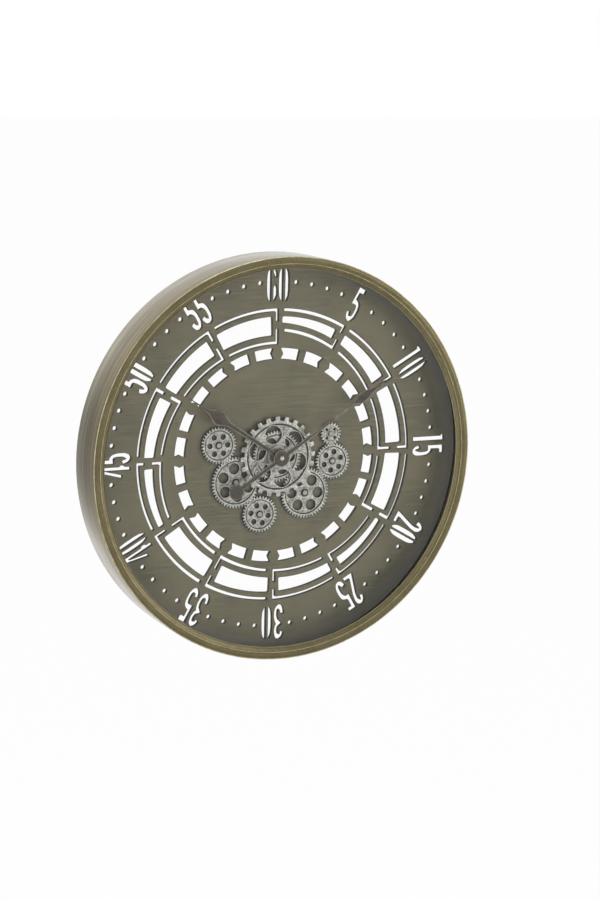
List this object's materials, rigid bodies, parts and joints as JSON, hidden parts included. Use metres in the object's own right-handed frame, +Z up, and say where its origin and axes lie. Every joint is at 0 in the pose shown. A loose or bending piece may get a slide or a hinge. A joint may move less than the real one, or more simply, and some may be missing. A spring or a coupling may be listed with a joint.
{
  "type": "gear wall clock",
  "caption": "Round wall clock with a deep rolled case, flat glass, a pierced dial, an open train of meshing gears and leaf-shaped hands.",
  "frame": {"origin": "centre of the case's bounding box, on the axis of the hands", "axes": "+Z up when hung, +Y from the dial towards the wall, +X to the viewer's right"},
  "size_m": [0.6, 0.0762, 0.6],
  "materials": {
    "brushed_bronze": "brushed olive bronze lacquer on rolled steel",
    "gilt_bronze": "rubbed gilt bronze lacquer",
    "dial_bronze": "fibreboard with a brushed olive bronze lacquer",
    "antique_silver": "antique silver with darker recesses",
    "pale_brass": "satin",
    "cap_nickel": "satin nickel",
    "dark_bronze": "dark bronze lacquer rubbed at the edges",
    "plain_steel": "plain",
    "zinc_plate": "zinc plated",
    "clear_glass": "clear float glass",
    "black_plastic": "moulded",
    "black_rubber": "matte",
    "grey_plastic": "moulded",
    "cell_jacket": "plain jacket"
  },
  "bodies": {
    "case": {"case_band": "brushed_bronze", "front_bezel": "gilt_bronze", "cover_glass": "clear_glass", "dial_plate": "dial_bronze", "hanger_plate": "plain_steel", "movement_case": "black_plastic", "movement_cover": "black_plastic", "clock_cell": "cell_jacket", "clock_contact_left": "zinc_plate", "clock_contact_right": "zinc_plate", "bush_gasket": "black_rubber", "threaded_bush": "pale_brass", "bush_washer": "zinc_plate", "bush_nut": "pale_brass", "center_sleeve": "pale_brass", "drive_case": "black_plastic", "drive_cell_left": "cell_jacket", "drive_cell_right": "cell_jacket", "drive_contact_left": "zinc_plate", "drive_contact_right": "zinc_plate", "drive_bridge": "zinc_plate", "drive_screw_1": "zinc_plate", "drive_screw_2": "zinc_plate", "dial_tab_1": "plain_steel", "dial_screw_1": "zinc_plate", "dial_tab_2": "plain_steel", "dial_screw_2": "zinc_plate", "dial_tab_3": "plain_steel", "dial_screw_3": "zinc_plate", "dial_tab_4": "plain_steel", "dial_screw_4": "zinc_plate", "post_mid_gear_left": "pale_brass", "screw_mid_gear_left": "pale_brass", "post_small_gear_left": "pale_brass", "screw_small_gear_left": "pale_brass", "post_small_gear_bottom": "pale_brass", "screw_small_gear_bottom": "pale_brass", "post_small_gear_right": "pale_brass", "screw_small_gear_right": "pale_brass", "post_tiny_gear": "pale_brass", "screw_tiny_gear": "pale_brass"},
    "center_wheel": {"center_gear": "antique_silver", "coarse_gear": "antique_silver", "center_hub": "antique_silver", "gear_rivet": "pale_brass"},
    "mid_left_wheel": {"mid_gear_left": "antique_silver"},
    "mid_right_wheel": {"mid_gear_right": "antique_silver", "drive_arbor": "plain_steel", "screw_mid_gear_right": "pale_brass"},
    "small_left_wheel": {"small_gear_left": "antique_silver"},
    "small_bottom_wheel": {"small_gear_bottom": "antique_silver"},
    "small_right_wheel": {"small_gear_right": "antique_silver"},
    "tiny_wheel": {"tiny_gear": "antique_silver"},
    "hour": {"hour_hand": "dark_bronze", "hour_pipe": "pale_brass"},
    "minute": {"minute_hand": "dark_bronze", "minute_arbor": "plain_steel", "hand_cap": "cap_nickel"},
    "set_knob": {"time_set_knob": "grey_plastic"},
    "switch": {"drive_switch": "grey_plastic"}
  },
  "joints": [
    {"name": "center_spin", "type": "hinge", "parent": "case", "child": "center_wheel", "pos_m": [0, 0.001, 0], "axis": [0, 1, 0], "continuous": true},
    {"name": "mid_left_spin", "type": "hinge", "parent": "case", "child": "mid_left_wheel", "pos_m": [-0.06513, 0.001, -0.03596], "axis": [0, 1, 0], "continuous": true},
    {"name": "mid_right_spin", "type": "hinge", "parent": "case", "child": "mid_right_wheel", "pos_m": [0.04662, 0.001, -0.05798], "axis": [0, 1, 0], "continuous": true},
    {"name": "small_left_spin", "type": "hinge", "parent": "case", "child": "small_left_wheel", "pos_m": [-0.09299, 0.001, 0.02116], "axis": [0, 1, 0], "continuous": true},
    {"name": "small_bottom_spin", "type": "hinge", "parent": "case", "child": "small_bottom_wheel", "pos_m": [-0.02618, 0.001, -0.08617], "axis": [0, 1, 0], "continuous": true},
    {"name": "small_right_spin", "type": "hinge", "parent": "case", "child": "small_right_wheel", "pos_m": [0.091, 0.001, -0.0125], "axis": [0, 1, 0], "continuous": true},
    {"name": "tiny_spin", "type": "hinge", "parent": "case", "child": "tiny_wheel", "pos_m": [0.0875, 0.001, 0.0292], "axis": [0, 1, 0], "continuous": true},
    {"name": "minute_turn", "type": "hinge", "parent": "case", "child": "minute", "pos_m": [0, -0.0175, 0], "axis": [0, 1, 0], "continuous": true},
    {"name": "hour_turn", "type": "hinge", "parent": "case", "child": "hour", "pos_m": [0, -0.0135, 0], "axis": [0, 1, 0], "continuous": true},
    {"name": "knob_turn", "type": "hinge", "parent": "case", "child": "set_knob", "pos_m": [0.012, 0.031, 0.009], "axis": [0, 1, 0], "continuous": true},
    {"name": "switch_slide", "type": "slide", "parent": "case", "child": "switch", "axis": [1, 0, 0], "range_m": [0, 0.004]}
  ],
  "couplings": [
    {"joint": "mid_left_spin", "follows": "center_spin", "ratio": -1},
    {"joint": "mid_right_spin", "follows": "center_spin", "ratio": -1},
    {"joint": "small_left_spin", "follows": "center_spin", "ratio": 1.4118},
    {"joint": "small_bottom_spin", "follows": "center_spin", "ratio": 1.4118},
    {"joint": "small_right_spin", "follows": "center_spin", "ratio": 1.4118},
    {"joint": "tiny_spin", "follows": "center_spin", "ratio": -2.4},
    {"joint": "hour_turn", "follows": "minute_turn", "ratio": 0.083333},
    {"joint": "knob_turn", "follows": "minute_turn", "ratio": -0.33333}
  ]
}
